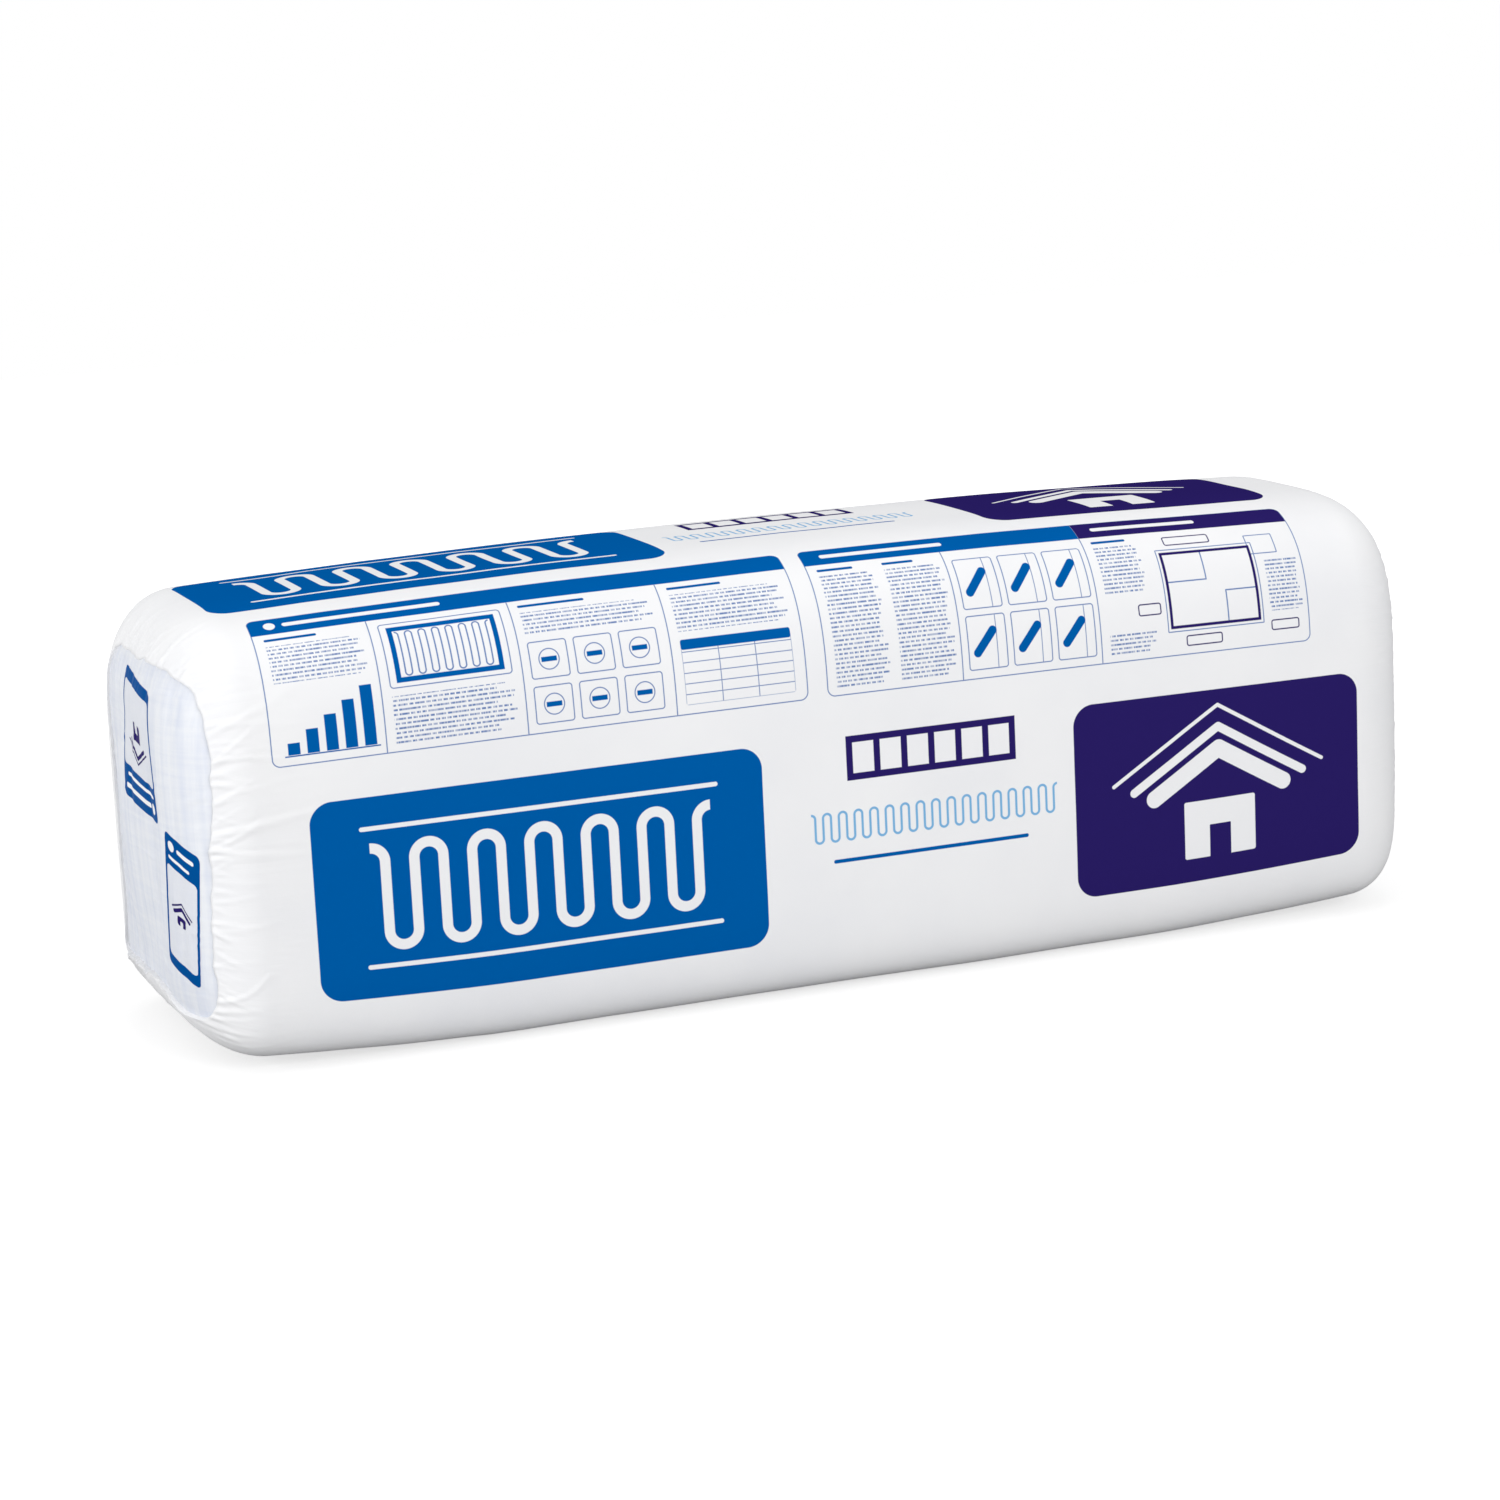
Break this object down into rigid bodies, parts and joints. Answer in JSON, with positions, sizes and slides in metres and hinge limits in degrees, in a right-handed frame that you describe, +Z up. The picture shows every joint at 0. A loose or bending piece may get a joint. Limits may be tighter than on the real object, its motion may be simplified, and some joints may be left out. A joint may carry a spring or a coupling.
{
  "type": "wrapped bale of folded fiberglass insulation batts",
  "caption": "Bale of folded glass wool insulation batts, pressed on edge into a rounded block and wrapped in printed film with a clear window at each end.",
  "frame": {"origin": "middle of the flat patch that the bale rests on, at the bottom centre of its box", "axes": "+X along the length towards the folded ends of the batts, +Y across the layers, +Z up"},
  "size_m": [1.2, 0.35, 0.4],
  "materials": {
    "printed_film": "white polyethylene film with a soft gloss, printed with blue and violet blocks",
    "end_film": "thin bluish translucent polyethylene film, wrinkled, with two printed blue labels",
    "glass_wool": "matt white felted glass fibre"
  },
  "bodies": {
    "root": {"film_sleeve": "printed_film", "end_film_left": "end_film", "end_film_right": "end_film", "batt_1": "glass_wool", "batt_2": "glass_wool", "batt_3": "glass_wool", "batt_4": "glass_wool", "batt_5": "glass_wool", "batt_6": "glass_wool", "batt_7": "glass_wool"}
  },
  "joints": []
}
